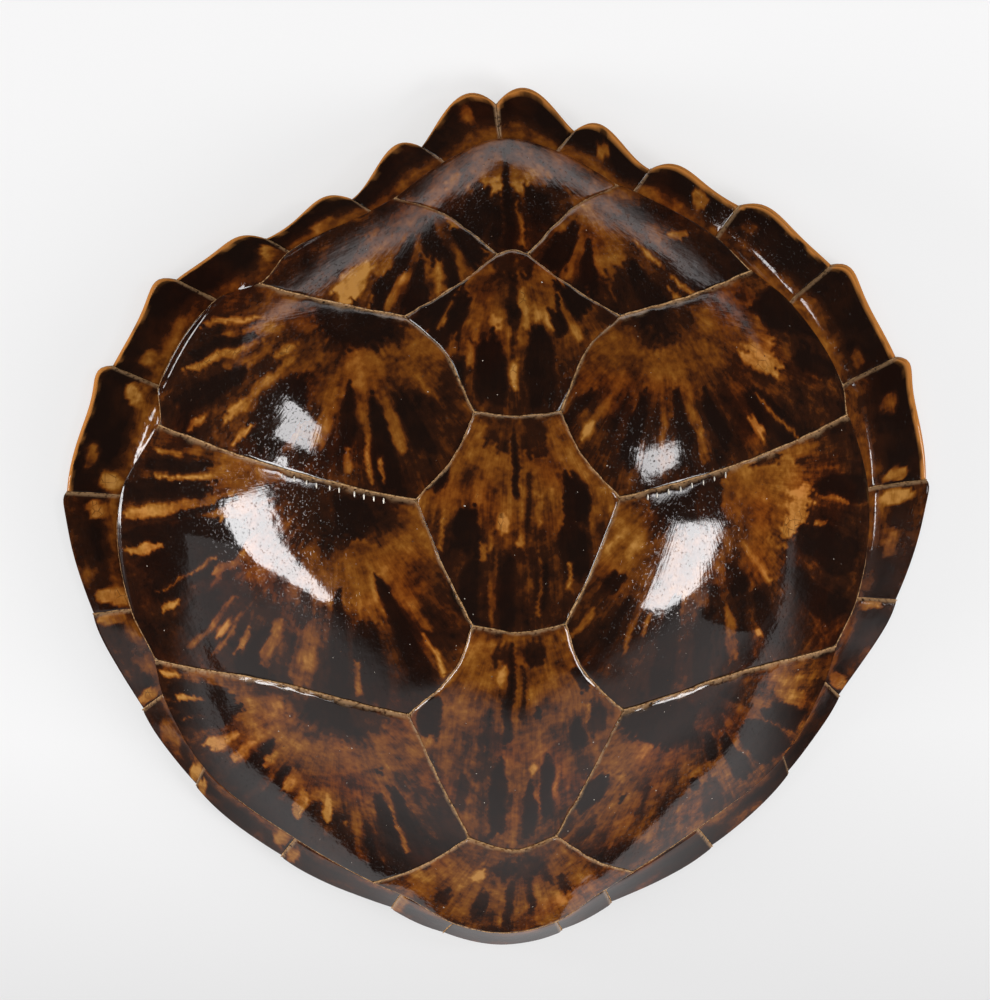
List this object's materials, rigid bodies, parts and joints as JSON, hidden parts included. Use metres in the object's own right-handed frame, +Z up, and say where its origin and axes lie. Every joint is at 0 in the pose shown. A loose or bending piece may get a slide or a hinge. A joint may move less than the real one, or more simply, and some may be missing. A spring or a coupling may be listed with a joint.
{
  "type": "sea turtle shell",
  "caption": "domed upper shell of a hawksbill sea turtle, with overlapping horny plates, a gutter and a sawtooth brim, open below, lacquered and lying on its rim",
  "frame": {"origin": "on the floor under the middle of the shell's box, with the shell lying on its rim", "axes": "+Y points to the tail, -Y to the head, +X to the animal's left side, +Z up through the back"},
  "size_m": [0.6001, 0.5986, 0.178],
  "materials": {
    "lacquered_horn": "mottled dark brown, amber and honey horn under clear gloss lacquer",
    "bone": "dry cream bone, bare on the underside"
  },
  "bodies": {
    "root": {"carapace": "lacquered_horn"}
  },
  "joints": []
}
